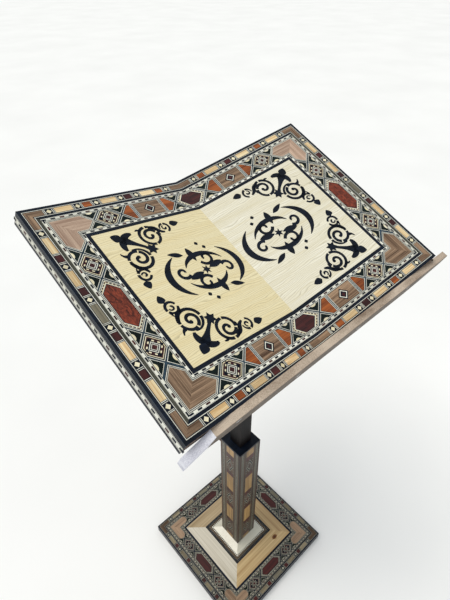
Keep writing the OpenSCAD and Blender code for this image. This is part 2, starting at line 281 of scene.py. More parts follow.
@dataclass(frozen=True)
class Speckled:
    """Unvarnished timber cut across and along its fibres: pale, matt, with fine flecks 0.8 mm across.

    A face darkened as painted shade is dark where it lies before a place given in millimetres up the slope; stained
    holds that place.
    """
    name: str
    pale: str
    dark: str
    fleck: float = 0.8
    stained: float = 0.0

    def make(self) -> bpy.types.Material:
        """Returns the finished material."""
        material, tree, shader = new_material(self.name)
        place = add(tree, "TexCoord").outputs["Object"]
        scaled = add(tree, "Mapping", {"Vector": place, "Scale": (400, 1000, 1000)}).outputs[0]
        flecks = add(tree, "TexNoise", {"Vector": scaled, "Scale": 1 / self.fleck, "Detail": 3.0,
                                        "Roughness": 0.7}).outputs[0]
        broad = add(tree, "TexNoise", {"Vector": scaled, "Scale": 1 / 18.0, "Detail": 2.0}).outputs[0]
        mixed = add(tree, "Math", {0: flecks, 1: broad}, operation="ADD").outputs[0]
        spread = add(tree, "MapRange", {0: mixed, 1: 0.72, 2: 1.2, 3: 0.0, 4: 1.0}).outputs[0]
        colour = ramp(tree, spread, [(0.0, linear(self.dark)), (1.0, linear(self.pale))])
        # painted shade: the ledge's front face, turned down out of the light, is darkened towards a dark brown before
        # that place
        if self.stained:
            slope = add(tree, "Mapping", {"Vector": place, "Rotation": (math.radians(-SLOPE), 0, 0),
                                          "Scale": (1000, 1000, 1000)})
            ahead = add(tree, "SeparateXYZ", {0: slope.outputs[0]}).outputs[1]
            front = add(tree, "MapRange", {0: ahead, 1: self.stained + 0.1, 2: self.stained + 0.6,
                                           3: 0.75, 4: 0.0}).outputs[0]
            colour = add(tree, "MixRGB", {0: front, 1: colour, 2: linear("#2e241c")}).outputs[0]
        tree.links.new(colour, shader.inputs["Base Color"])
        bump = add(tree, "Bump", {"Height": flecks, "Strength": 0.25, "Distance": 0.2 * MM})
        tree.links.new(bump.outputs[0], shader.inputs["Normal"])
        shader.inputs["Roughness"].default_value = 0.72
        return material


class Wood(Enum):
    """The woods of the inlay, in the order of every panel's material slots."""
    # The blue in the black woods is painted reflection of the sky in the varnish; the woods themselves are black.
    EBONY = Timber("dyed ebony veneer, satin varnish", "#101a2a", "#070c15", pores=0.2, roughness=0.45, varnish=0.0,
                   gloss=0.16)
    HOLLY = Timber("holly stringing, satin varnish", "#f2f1e6", "#d9d7c6", pores=0.05, streak=0.6)
    STEEL = Timber("blue-grey dyed sycamore", "#3d5363", "#22333f", pores=0.1, gloss=0.2, varnish=0.0)
    WALNUT = Timber("walnut veneer, satin varnish", "#ac8e72", "#442c1c", streak=0.7, band=5.0, spread=0.24,
                    varnish=0.1)
    MAPLE = Timber("figured maple veneer, satin varnish", "#f6e2b6", "#cda670", pores=0.12, streak=1.4)
    PADAUK = Timber("padauk veneer, satin varnish", "#b4622a", "#6e3412", pores=0.3, varnish=0.1)
    ROSE = Timber("rosewood veneer, satin varnish", "#54211f", "#260b0c", pores=0.4, varnish=0.1)
    BURL = Burl("amboyna burl veneer, satin varnish", "#93412a", "#33100a", varnish=0.1)
    BONE = Timber("polished camel bone", "#f1e8cc", "#e2d6ae", pores=0.0, streak=3.0, roughness=0.3)
    GREY = Timber("silver-grey dyed maple", "#87806c", "#5e584a", pores=0.15, varnish=0.1)
    # The grey-green strip wood below is the black strip of the leaf's outer side run, coloured as painted sheen.
    SIDE_SHEEN_GREY = Timber("grey-green dyed painted_sheen strip", "#55554a", "#35362f", pores=0.2, streak=0.7, varnish=0.0, gloss=0.2)
    FIR = Timber("green-black dyed pear", "#11201f", "#08100f", pores=0.1, varnish=0.0, gloss=0.16)
    # TAN is a paler walnut; on the head's back corners its paleness is painted sheen.
    TAN = Timber("light walnut paler-toned veneer", "#d6bba4", "#8c6c5a", band=4.0, spread=0.3, varnish=0.1)
    # FAWN, PEARL, DRAB and the dark brown strip wood below are darker copies of the head's woods for the base and the
    # column, as painted shade from the head.
    FAWN = Timber("faded walnut veneer", "#ac9076", "#745c48", band=4.0, spread=0.3, varnish=0.1)
    PEARL = Timber("shaded sycamore stringing", "#aeaa98", "#827e70", pores=0.05, streak=0.6)
    DRAB = Timber("shade-darkened maple veneer", "#988c72", "#665b47", pores=0.15, streak=1.4, varnish=0.1)
    SHADE_BROWN = Timber("shade-darkened oak strip", "#665140", "#34281f", pores=0.4, varnish=0.0, gloss=0.2)
    HONEY = Timber("honey-stained maple", "#bb9660", "#80603a", pores=0.15, streak=1.4, varnish=0.1)


# Figure of the planed pine boards
PLANED = {"streak": 1.6, "length": 120.0, "band": 9.0, "pores": 0.08, "spread": 0.3}
# Figure of the pages: growth lines really lie 1 mm apart and are drawn 2.6 mm apart, so that they show
PAGE = {"streak": 1.6, "length": 70.0, "band": 12.0, "spread": 0.4, "relief": 0.15, "line_gap": 2.6}
FIXED = {
    # The pages are one ash veneer in two colours: the left page is yellower and its colour is lifted to make up for the
    # light it misses, and the right page's whiter colour is partly painted reflection of the light from the left.
    "page right": Timber("ash page veneer, satin varnish", "#fffcee", "#e3d8b6", pores=0.25, run=Run.LEAF_RIGHT,
                         **PAGE),
    "page left": Timber("ash page veneer, light-lifted varnish", "#fef4ce", "#efdca8", pores=0.3, run=Run.LEAF_LEFT,
                        **PAGE),
    "core": Timber("solid walnut core, oiled", "#8f7258", "#5d4431", streak=1.2, varnish=0.1, roughness=0.5,
                   run=Run.X),
    "pine": Timber("planed pine, clear varnish", "#cfb586", "#a08059", run=Run.X, **PLANED),
    "moulding": Timber("pale maple moulding, gloss varnish", "#dcd8c8", "#c4beaa", streak=3.0, band=20.0, pores=0.05,
                       spread=0.5, roughness=0.2, varnish=0.9, relief=0.02, run=Run.X),
    # the post's near-black is partly its own dark stain and partly painted shade from the head above it
    "post": Timber("fumed_and_shaded oak post, wax", "#1b1616", "#090707", streak=1.4, length=70.0, pores=0.6,
                   roughness=0.5, varnish=0.0, relief=0.12, gloss=0.15, run=Run.Z),
    "beech": Timber("steamed beech, oiled", "#b98f66", "#8f6a47", pores=0.25, roughness=0.5, varnish=0.1,
                    run=Run.X),
}


@dataclass(frozen=True)
class Rail:
    """One straight run of border: its outer edge, the way along it and the way inwards."""
    start: Point
    along: Point
    inward: Point
    length: float
    mitre_start: bool = True
    mitre_end: bool = True

    def at(self, s: float, t: float) -> Point:
        """Returns the panel point s along the run and t in from its edge."""
        return (self.start[0] + self.along[0] * s + self.inward[0] * t,
                self.start[1] + self.along[1] * s + self.inward[1] * t)

    def held(self, s: float, t: float) -> Point:
        """Returns the panel point, kept within the run's mitres."""
        low = t if self.mitre_start else 0.0
        high = self.length - t if self.mitre_end else self.length
        return self.at(min(max(s, low), high), t)


def square_rails(half: float) -> list[Rail]:
    """Returns the four runs of a square border whose outer edge is half from the centre."""
    rails = []
    for quarter in range(4):
        c, s = round(math.cos(quarter * math.pi / 2)), round(math.sin(quarter * math.pi / 2))
        rails.append(Rail((-half * c + half * s, -half * s - half * c), (c, s), (-s, c), 2 * half))
    return rails


@dataclass
class Inlay:
    """A panel of flat tiles let into one face of the stand.

    Tiles that lie on others stand a fiftieth of a millimetre prouder, so none shares a plane.
    """
    name: str
    body: str
    place: Matrix
    step: float = 0.02
    depth: float = 0.6
    seed: int = 1
    shade_swaps: dict = field(default_factory=dict)
    mesh: bmesh.types.BMesh = field(default_factory=bmesh.new)
    boards: list = field(default_factory=lambda: [((1.0, 0.0), 0.0)])

    def __post_init__(self) -> None:
        """Prepares the layers that say which board a face was cut from."""
        self.board = self.mesh.faces.layers.int.new("board")
        self.chance = random.Random(self.seed)

    def dress(self, face: bmesh.types.BMFace, wood: Wood, grain: Point) -> None:
        """Gives a face its wood and the direction of its grain; black veneer is dyed, so it is even throughout."""
        # base and column panels swap in their darker woods here, as painted shade
        wood = self.shade_swaps.get(wood, wood)
        face.material_index = list(Wood).index(wood)
        self.boards.append((grain, 0.0 if wood is Wood.EBONY else self.chance.uniform(0, 500)))
        face[self.board] = len(self.boards) - 1

    def tile(self, wood: Wood, outline: list[Point], level: int = 1, grain: Point = (1.0, 0.0)) -> bmesh.types.BMFace:
        """Lays one tile.

        Args:
            wood: what it is cut from.
            outline: its corners in the panel.
            level: how many tiles lie under it, plus one.
            grain: direction of its grain in the panel.

        Returns:
            The tile's face.
        """
        height = self.step * level + 0.01
        face = self.mesh.faces.new([self.mesh.verts.new((x, y, height)) for x, y in outline])
        face.normal_update()
        self.dress(face, wood, grain)
        return face

    def lines(self, face: bmesh.types.BMFace, rings: list[tuple[Wood, float]], wood: Wood,
              grain: Point) -> bmesh.types.BMFace:
        """Turns a tile's margin into stringing, from outside to inside, and re-dresses what is left.

        Args:
            face: the tile.
            rings: wood and width of each line.
            wood: what the middle is cut from.
            grain: direction of the middle's grain.

        Returns:
            The face in the middle.
        """
        for line, width in rings:
            made = bmesh.ops.inset_individual(self.mesh, faces=[face], thickness=width, use_even_offset=True)
            for ring in made["faces"]:
                self.dress(ring, line, grain)
        self.dress(face, wood, grain)
        return face

    def block(self, rail: Rail, wood: Wood, s: Point, t: Point, level: int = 1,
              cross: bool = False) -> bmesh.types.BMFace:
        """Lays a piece that spans s along a run and t across it, mitred where the run is."""
        outline = [rail.held(s[0], t[0]), rail.held(s[1], t[0]), rail.held(s[1], t[1]), rail.held(s[0], t[1])]
        return self.tile(wood, outline, level, rail.inward if cross else rail.along)

    def strip(self, rails: list[Rail], wood: Wood, near: float, far: float, level: int = 1) -> None:
        """Lays a strip all round a border, between two distances in from its edge."""
        for rail in rails:
            self.block(rail, wood, (-9e3, 9e3), (near, far), level)

    def shape(self, rail: Rail, wood: Wood, outline: list[Point], level: int, rings: list = ()) -> bmesh.types.BMFace:
        """Lays a piece given as [along, inwards] points of a run, with stringing round it."""
        face = self.tile(wood, [rail.at(s, t) for s, t in outline], level, rail.along)
        return self.lines(face, rings, wood, rail.along) if rings else face

    def diamond(self, rail: Rail, wood: Wood, middle: Point, reach: Point, level: int) -> None:
        """Lays a diamond that reaches two distances from its middle, along the run and across it."""
        (s, t), (along, across) = middle, reach
        self.shape(rail, wood, [(s - along, t), (s, t - across), (s + along, t), (s, t + across)], level)

    def dashes(self, rail: Rail, a: Point, b: Point, size: Point, pitch: float, woods: list[Wood], level: int) -> None:
        """Lays short pieces in a row from a to b, each size long and wide, centred on the line."""
        run = Vector((b[0] - a[0], b[1] - a[1]))
        if run.length < size[0]:
            return
        way = run.normalized()
        side = Vector((-way.y, way.x)) * size[1] / 2
        count = max(1, round((run.length - size[0]) / pitch) + 1)
        slack = (run.length - (count - 1) * pitch) / 2
        for i in range(count):
            middle = Vector(a) + way * (slack + i * pitch)
            half = way * size[0] / 2
            corners = [middle - half - side, middle + half - side, middle + half + side, middle - half + side]
            self.shape(rail, woods[i % len(woods)], [tuple(c) for c in corners], level)

    def stroke(self, wood: Wood, path: list[tuple[float, float, float]], level: int = 1) -> None:
        """Cuts one tapering curved piece by drawing an edge along a path of x, y and half width."""
        height = self.step * level + 0.01
        ends = []
        for i, (x, y, half) in enumerate(path):
            before, after = path[max(i - 1, 0)], path[min(i + 1, len(path) - 1)]
            way = Vector((after[0] - before[0], after[1] - before[1])).normalized()
            ends.append((Vector((x - way.y * half, y + way.x * half, height)),
                         Vector((x + way.y * half, y - way.x * half, height))))
        first = [self.mesh.verts.new(ends[0][0]), self.mesh.verts.new(ends[0][1])]
        edge = self.mesh.edges.new(first)
        for left, right in ends[1:]:
            made = bmesh.ops.extrude_edge_only(self.mesh, edges=[edge])["geom"]
            old = edge.verts[0]
            new = [g for g in made if isinstance(g, bmesh.types.BMVert)]
            if old.link_edges and not any(e.other_vert(old) is new[0] for e in old.link_edges):
                new.reverse()
            ordered = new if edge.verts[0] is first[0] else new[::-1]
            ordered[0].co, ordered[1].co = left, right
            face = next(g for g in made if isinstance(g, bmesh.types.BMFace))
            self.dress(face, wood, (1.0, 0.0))
            edge = next(g for g in made if isinstance(g, bmesh.types.BMEdge) and all(v in new for v in g.verts))
            first = ordered

    def finish(self, keep_right: bool = False) -> bpy.types.Object:
        """Cuts the tiles through their thickness and carries them to their place.

        Args:
            keep_right: whether everything left of x = 0 is cut off.

        Returns:
            The panel's object, riding on its body.
        """
        bm = self.mesh
        if keep_right:
            bmesh.ops.bisect_plane(bm, geom=bm.verts[:] + bm.edges[:] + bm.faces[:], plane_co=(0, 0, 0),
                                   plane_no=(-1, 0, 0), clear_outer=True)
        made = bmesh.ops.extrude_face_region(bm, geom=bm.faces[:], use_keep_orig=True)["geom"]
        for vert in (g for g in made if isinstance(g, bmesh.types.BMVert)):
            vert.co.z = -self.depth
        grain = bm.loops.layers.float_vector.new("grain")
        for face in bm.faces:
            (gx, gy), seed = self.boards[face[self.board]]
            for loop in face.loops:
                x, y, z = loop.vert.co
                loop[grain] = (x * gx + y * gy, -x * gy + y * gx, seed)
        bmesh.ops.triangulate(bm, faces=[f for f in bm.faces if len(f.verts) > 4])
        bmesh.ops.transform(bm, matrix=Matrix.Scale(MM, 4) @ self.place, verts=bm.verts[:])
        bmesh.ops.recalc_face_normals(bm, faces=bm.faces[:])
        return add_piece(self.name, bm, self.body, [made_finish(w.value) for w in Wood])


MADE: dict[str, bpy.types.Material] = {}


def made_finish(finish: Timber | Metal | Speckled) -> bpy.types.Material:
    """Returns the material of a finish, made the first time that it is asked for."""
    if finish.name not in MADE:
        MADE[finish.name] = finish.make()
    return MADE[finish.name]


def add_piece(name: str, bm: bmesh.types.BMesh, body: str, materials: list) -> bpy.types.Object:
    """Turns a finished bmesh into an object that rides on a body.

    Args:
        name: the piece's name.
        bm: its mesh, in metres in the stand's frame.
        body: the body it moves with.
        materials: its materials, in slot order.

    Returns:
        The object.
    """
    mesh = bpy.data.meshes.new(name)
    bm.to_mesh(mesh)
    bm.free()
    for material in materials:
        mesh.materials.append(material)
    piece = bpy.data.objects.new(name, mesh)
    bpy.context.scene.collection.objects.link(piece)
    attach(piece, body)
    LOG.info("%s: %d faces on %s", name, len(mesh.polygons), body)
    return piece


# Stringing round a figure, from outside to inside: wood and width in millimetres
TRIPLE = [(Wood.EBONY, 0.6), (Wood.HOLLY, 0.8), (Wood.EBONY, 0.9), (Wood.HOLLY, 0.5)]
FINE = [(Wood.HOLLY, 0.6), (Wood.EBONY, 0.8)]
CHEVRONS = [(Wood.EBONY, 0.6), (Wood.HOLLY, 0.8), (Wood.EBONY, 1.3), (Wood.BONE, 0.9), (Wood.ROSE, 1.4)]
# Woods of the base and the column: darker copies of the head's, as painted shade from the head above them
SHADED_WOODS = {Wood.HOLLY: Wood.PEARL, Wood.BONE: Wood.PEARL, Wood.MAPLE: Wood.DRAB, Wood.WALNUT: Wood.SHADE_BROWN,
          Wood.TAN: Wood.FAWN}


@dataclass
class Border:
    """Bands of tiles shared by every inlaid border: block band, chequer strip and hexagon band."""
    panel: Inlay
    rails: list[Rail]

    def diamond_tile(self, rail: Rail, s: Point, t: Point) -> None:
        """Lays a black square with a bone diamond."""
        self.panel.block(rail, Wood.EBONY, s, t, 2)
        middle = ((s[0] + s[1]) / 2, (t[0] + t[1]) / 2)
        self.panel.diamond(rail, Wood.BONE, middle, ((s[1] - s[0]) * 0.44, (t[1] - t[0]) * 0.42), 3)

    def bars(self, rail: Rail, s: Point, t: Point) -> None:
        """Fills a gap in the block band with thin white cross lines, about 1.5 mm apart."""
        count = max(1, round((s[1] - s[0] - 0.6) / 1.5))
        gap = (s[1] - s[0]) / count
        for i in range(count):
            middle = s[0] + gap * (i + 0.5)
            self.panel.block(rail, Wood.HOLLY, (middle - 0.35, middle + 0.35), t, 2, True)

    def block_band(self, rail: Rail, blocks: list[tuple[float, float, Wood | None]], t: Point) -> None:
        """Lays the blocks of one run in order; None stands for a diamond tile."""
        end = None
        for first, last, wood in blocks:
            if end is not None:
                self.bars(rail, (end, first), t)
            if wood is None:
                self.diamond_tile(rail, (first, last), t)
            else:
                self.panel.block(rail, wood, (first, last), t, 2)
            end = last

    def chequer(self, near: float, far: float, pitch: float = 11.8, size: Point = (6.0, 2.2)) -> None:
        """Lays a white strip with dark dashes along its middle, a red-brown one now and then."""
        self.panel.strip(self.rails, Wood.HOLLY, near, far, 1)
        t = (near + far) / 2
        woods = [Wood.EBONY, Wood.EBONY, Wood.ROSE]
        for rail in self.rails:
            first = t if rail.mitre_start else -pitch / 2
            last = rail.length - t if rail.mitre_end else rail.length
            self.panel.dashes(rail, (first, t), (last, t), size, pitch, woods, 2)

    @staticmethod
    def lozenge(s: Point, t: Point, points: tuple[bool, bool] = (True, True)) -> list[Point]:
        """Returns the outline of a hexagon between two places along a run, or of a pentagon with one flat end."""
        half = (t[1] - t[0]) / 2
        middle = t[0] + half
        first, last = [(s[0], t[1]), (s[0], t[0])], [(s[1], t[0]), (s[1], t[1])]
        if points[0]:
            first = [(s[0] + half, t[1]), (s[0], middle), (s[0] + half, t[0])]
        if points[1]:
            last = [(s[1] - half, t[0]), (s[1], middle), (s[1] - half, t[1])]
        return first + last

    def ends(self, rail: Rail, s: Point, t: Point, inset: float, woods: list[Wood], level: int) -> None:
        """Lays dashes along the four slanting edges of a hexagon, a given distance inside them."""
        half = (t[1] - t[0]) / 2
        middle = t[0] + half
        slip = inset * math.sqrt(2)
        for tip, way in ((s[0] + slip, 1), (s[1] - slip, -1)):
            for side in (-1, 1):
                reach = half - inset * 0.6
                self.panel.dashes(rail, (tip, middle), (tip + way * reach, middle + side * reach),
                                  (2.9, 1.5), 4.4, woods, level)

    def figure(self, rail: Rail, spans: tuple[Point, Point], t: Point, inset: float, teeth: float, wood: Wood) -> None:
        """Lays a lined hexagon with chequered ends round a core of one wood.

        Args:
            rail: the run it lies on.
            spans: the two ends of the hexagon along the run, then those of its core.
            t: the band's two edges.
            inset: how far the core's long sides lie inside the band's.
            teeth: how far the chequered ends lie inside the hexagon.
            wood: the core's wood.
        """
        self.panel.shape(rail, Wood.BONE, self.lozenge(spans[0], t), 2, TRIPLE)
        self.ends(rail, spans[0], t, teeth, [Wood.ROSE, Wood.EBONY], 4)
        self.panel.shape(rail, wood, self.lozenge(spans[1], (t[0] + inset, t[1] - inset)), 5, FINE)

    def mosaic(self, rail: Rail, s: Point, t: Point) -> None:
        """Lays a hexagon of chequered rings round a red diamond."""
        panel, half = self.panel, (t[1] - t[0]) / 2
        cs, ct = (s[0] + s[1]) / 2, t[0] + half
        panel.shape(rail, Wood.EBONY, self.lozenge(s, t), 2, CHEVRONS)
        for share, wood, level in ((0.84, Wood.BONE, 3), (0.68, Wood.EBONY, 5), (0.55, Wood.HOLLY, 6),
                                   (0.47, Wood.EBONY, 7), (0.36, Wood.HOLLY, 8), (0.28, Wood.ROSE, 9)):
            panel.diamond(rail, wood, (cs, ct), (share * half, share * half), level)
        r = 0.755 * half
        corners = [(cs - r, ct), (cs, ct - r), (cs + r, ct), (cs, ct + r)]
        for a, b in zip(corners, corners[1:] + corners[:1]):
            panel.dashes(rail, a, b, (0.26 * half, 0.12 * half), 0.46 * half, [Wood.EBONY, Wood.ROSE], 4)

    def crossing(self, rail: Rail, s: float, t: Point) -> None:
        """Lays the two dark triangles between neighbouring hexagons, each with a pale dome at its base."""
        half = (t[1] - t[0]) / 2
        for edge, way in ((t[0], 1), (t[1], -1)):
            wide = half - 1.1
            self.panel.shape(rail, Wood.FIR, [(s - wide, edge + way * 0.3), (s + wide, edge + way * 0.3),
                                              (s, edge + way * wide)], 2,
                             [(Wood.EBONY, 0.4), (Wood.HOLLY, 0.7)])
            dome = [(s + half * 0.31 * math.cos(a), edge + way * (0.9 + half * 0.2 * math.sin(a)))
                    for a in (math.pi * i / 8 for i in range(9))]
            self.panel.shape(rail, Wood.BONE, dome, 4)

    def corner(self, before: Rail, after: Rail, reach: float, t: Point, wood: Wood, round_ends: bool = False) -> None:
        """Lays an L-shaped piece round a corner, cut along the mitre so the grain follows each arm."""
        half = (t[1] - t[0]) / 2
        middle = t[0] + half
        if round_ends:
            arc = [(math.cos(a), math.sin(a)) for a in (math.pi * (i / 10 - 0.5) for i in range(11))]
            tip = [(reach - half + half * c, middle + half * s) for c, s in arc]
        else:
            tip = [(reach - half, t[0]), (reach, middle), (reach - half, t[1])]
        end = [before.at(before.length - s, q) for s, q in tip]
        start = [after.at(s, q) for s, q in reversed(tip)]
        outer = [before.at(before.length - t[0], t[0])]
        inner = [before.at(before.length - t[1], t[1])]
        face = self.panel.tile(wood, outer + start[::-1] + inner + end[::-1], 2, after.along)
        self.panel.lines(face, TRIPLE, wood, after.along)
        bm = self.panel.mesh
        a, b = Vector((*outer[0], 0)), Vector((*inner[0], 0))
        across = (b - a).normalized()
        cut = Vector((-across.y, across.x, 0))
        made = bmesh.ops.bisect_plane(bm, geom=[face] + list(face.edges) + list(face.verts), plane_co=a, plane_no=cut)
        for part in (g for g in made["geom"] if isinstance(g, bmesh.types.BMFace)):
            side = (part.calc_center_median() - a).dot(cut)
            arm = (Vector((*after.at(50, middle), 0)) - a).dot(cut)
            self.panel.dress(part, wood, after.along if side * arm > 0 else before.along)


def head_place() -> Matrix:
    """Returns the frame of the head: x across, y up the slope, z out of the crease, in millimetres."""
    return Matrix.Translation(CREASE) @ Matrix.Rotation(math.radians(SLOPE), 4, "X")


def leaf_place(side: int) -> Matrix:
    """Returns the frame of a leaf's face: x out from the crease, y up the slope, z out of the face."""
    mirror = Matrix.Scale(-1 if side < 0 else 1, 4, (1, 0, 0))
    return head_place() @ mirror @ Matrix.Rotation(math.radians(-RISE), 4, "Y")


@dataclass
class Ornament:
    """The scrolled corner pieces and the middle roundel of a page, cut from one dark veneer.

    Positions are millimetres in from the page's side edge and up from its front edge.
    """
    panel: Inlay
    side_edge: float
    front_edge: float
    depth: float
    ring: float = 16.4

    def place(self, a: float, b: float, back: bool) -> Point:
        """Returns the panel point of a corner position; the back corner mirrors the front one."""
        y = self.front_edge + (self.depth - b if back else b)
        return self.side_edge - a, y

    def arc(self, centre: Point, radius: Point, angle: Point, half: Point, back: bool, steps: int = 14) -> None:
        """Cuts an arc whose radius, angle and half width each run evenly between two values."""
        path = []
        for i in range(steps + 1):
            k = i / steps
            r = radius[0] + (radius[1] - radius[0]) * k
            turn = math.radians(angle[0] + (angle[1] - angle[0]) * k)
            w = half[0] + (half[1] - half[0]) * k
            x, y = self.place(centre[0] + r * math.cos(turn), centre[1] + r * math.sin(turn), back)
            path.append((x, y, max(w, 0.15)))
        self.panel.stroke(Wood.EBONY, path)

    def scroll(self, centre: Point, radius: float, start: float, hand: int, back: bool) -> None:
        """Cuts a ring in three broken arcs round a spiral that ends in a small eye."""
        w = radius * 0.125
        for near, far, begin, end, first, last, steps in (
                (0.97, 0.97, 3, 176, 1.1, 1.15, 14), (0.97, 0.94, 184, 285, 1.15, 0.5, 14),
                (0.97, 0.72, -3, -100, 1.05, 1.1, 14), (0.69, 0.2, -108, -420, 1.2, 1.0, 24)):
            self.arc(centre, (radius * near, radius * far), (start + hand * begin, start + hand * end),
                     (w * first, w * last), back, steps)
        turn = math.radians(start - hand * 425)
        eye = (centre[0] + radius * 0.18 * math.cos(turn), centre[1] + radius * 0.18 * math.sin(turn))
        self.blob(eye, [radius * 0.17] * 12, 0, back)

    def blob(self, centre: Point, radii: list[float], turn: float, back: bool) -> None:
        """Cuts a closed piece given by its radius at equal turns round a centre."""
        outline = []
        for i, r in enumerate(radii):
            angle = turn + 2 * math.pi * i / len(radii)
            outline.append(self.place(centre[0] + r * math.cos(angle), centre[1] + r * math.sin(angle), back))
        self.panel.tile(Wood.EBONY, outline, 2)

    def petal(self, root: Point, tip: Point, wide: float, back: bool, fat: float = 0.35) -> None:
        """Cuts a pointed petal from its root to its tip, widest a share of the way along."""
        run = Vector((tip[0] - root[0], tip[1] - root[1]))
        path = []
        for i in range(13):
            k = i / 12
            rising, falling = k / fat, (k - fat) / (1 - fat)
            w = wide / 2 * (math.sin(math.pi / 2 * rising) if k < fat else math.cos(math.pi / 2 * falling) ** 0.8)
            x, y = self.place(root[0] + run.x * k, root[1] + run.y * k, back)
            path.append((x, y, max(w, 0.1)))
        self.panel.stroke(Wood.EBONY, path, 2)

    def curl(self, points: list[tuple[float, float, float]], back: bool) -> None:
        """Cuts a smooth stroke through a few points of a, b and half width."""
        path = []
        for i in range(len(points) - 1):
            p = [Vector(points[max(0, min(len(points) - 1, i + k))]) for k in (-1, 0, 1, 2)]
            for j in range(6):
                k = j / 6
                v = 0.5 * (2 * p[1] + (p[2] - p[0]) * k + (2 * p[0] - 5 * p[1] + 4 * p[2] - p[3]) * k ** 2
                           + (3 * p[1] - p[0] - 3 * p[2] + p[3]) * k ** 3)
                path.append((*self.place(v.x, v.y, back), max(v.z, 0.12)))
        last = points[-1]
        path.append((*self.place(last[0], last[1], back), last[2]))
        self.panel.stroke(Wood.EBONY, path)

    def corner(self, back: bool) -> None:
        """Cuts one corner: a three-lobed flower on a stem, a star, two scrolls, two tendrils and two buds."""
        # flower, its stem and the star at the stem's end
        star = Vector((63.5, 43.5))
        way = (Vector((22, 8.5)) - star).normalized()

        def spot(along: float, across: float) -> Point:
            """Returns the corner position along the flower's stem from the star, and across it."""
            return tuple(star + way * along + Vector((-way.y, way.x)) * across)
        self.blob(tuple(star), [9.5, 5.4] * 6, 0.4, back)
        self.curl([(*spot(3, 0), 2.2), (*spot(18, 0), 2.8), (*spot(27, 0), 4.4), (*spot(34, 0), 6.4),
                   (*spot(41, 0), 5.4)], back)
        self.petal(spot(38.5, 0), spot(54.8, 0), 13.6, back, 0.42)
        for hand in (-1, 1):
            self.curl([(*spot(38, 0), 3.6), (*spot(37.5, hand * 5), 4.8), (*spot(36, hand * 9.5), 4.4),
                       (*spot(33, hand * 13.4), 3.4), (*spot(29.5, hand * 15.8), 1.8)], back)
        # scroll beside the page's side edge, its spur, tendril and bud
        self.scroll((38.5, 52.5), self.ring, 182, -1, back)
        self.curl([(24, 45, 3.0), (20, 42.5, 1.8), (17.5, 38, 0.8)], back)
        self.curl([(22, 55, 2.4), (26.5, 64, 3.2), (33.5, 69.5, 2.6), (36.5, 76, 1.5)], back)
        self.arc((27.5, 77), (8.2, 7.8), (20, 200), (1.7, 2.1), back)
        self.arc((27.5, 77), (7.9, 8.2), (212, 325), (2.0, 0.9), back)
        self.arc((27.8, 77), (4.4, 1.2), (-170, 110), (1.0, 1.9), back)
        self.curl([(21.5, 71.5, 1.8), (22.2, 68, 1.4), (23, 64.5, 0.5)], back)
        self.petal((22.3, 85.5), (22, 98), 11.5, back, 0.3)
        # scroll beside the page's front edge, its spur, tendril and bud
        self.scroll((75.8, 22.4), self.ring * 0.97, 88, 1, back)
        self.curl([(67, 12.5, 3.0), (62.5, 9.2, 1.8), (58.5, 9.8, 0.8)], back)
        self.curl([(80, 9, 2.4), (88, 12, 3.2), (94.5, 20, 2.6), (100.5, 23, 1.4)], back)
        self.arc((104.3, 16), (7.6, 7.4), (75, -78), (1.6, 2.0), back)
        self.arc((104.3, 16), (7.4, 7.6), (-90, -185), (2.0, 0.9), back)
        self.arc((104.3, 16), (4.2, 1.2), (260, -20), (1.0, 1.8), back)
        self.petal((115.5, 12.5), (131, 12.5), 10.5, back, 0.32)

    def roundel(self) -> None:
        """Cuts the middle figure: crescents, scrolls, leaves and dots, the same twice round its centre."""
        centre = (self.side_edge - 72.0, self.depth / 2 + 4)
        for turn in (0, 180):
            def spot(r: float, angle: float) -> Point:
                """Returns the corner position at a radius and an angle round the roundel."""
                a = math.radians(angle + turn)
                return centre[0] + r * 1.12 * math.cos(a), centre[1] + r * 0.86 * math.sin(a)
            self.curl([(*spot(50 + 3 * math.sin(k * math.pi), 128 + 96 * k), 0.5 + 4.6 * math.sin(k * math.pi))
                       for k in (i / 8 for i in range(9))], False)
            self.curl([(*spot(36 - 8 * k, 20 + 130 * k), 0.5 + 3.6 * math.sin(k * math.pi))
                       for k in (i / 7 for i in range(8))], False)
            eye = spot(24, 62)
            self.arc(eye, (12.5, 3.0), (200 + turn, 560 + turn), (2.6, 1.9), False, 26)
            eye = spot(33, 166)
            self.arc(eye, (10.5, 2.6), (-40 + turn, -370 + turn), (2.7, 1.8), False, 24)
            self.petal(spot(20, 100), spot(49, 96), 10.0, False, 0.55)
            self.petal(spot(40, 112), spot(58, 126), 8.0, False, 0.4)
            self.petal(spot(6, 20), spot(30, 14), 10.5, False, 0.5)
            for r, angle in ((53, 74), (46, 62), (54, 12)):
                self.blob(spot(r, angle), [3.3, 2.7] * 4, 0.2, False)
        self.blob(centre, [8.0, 3.6] * 6, 0.0, False)


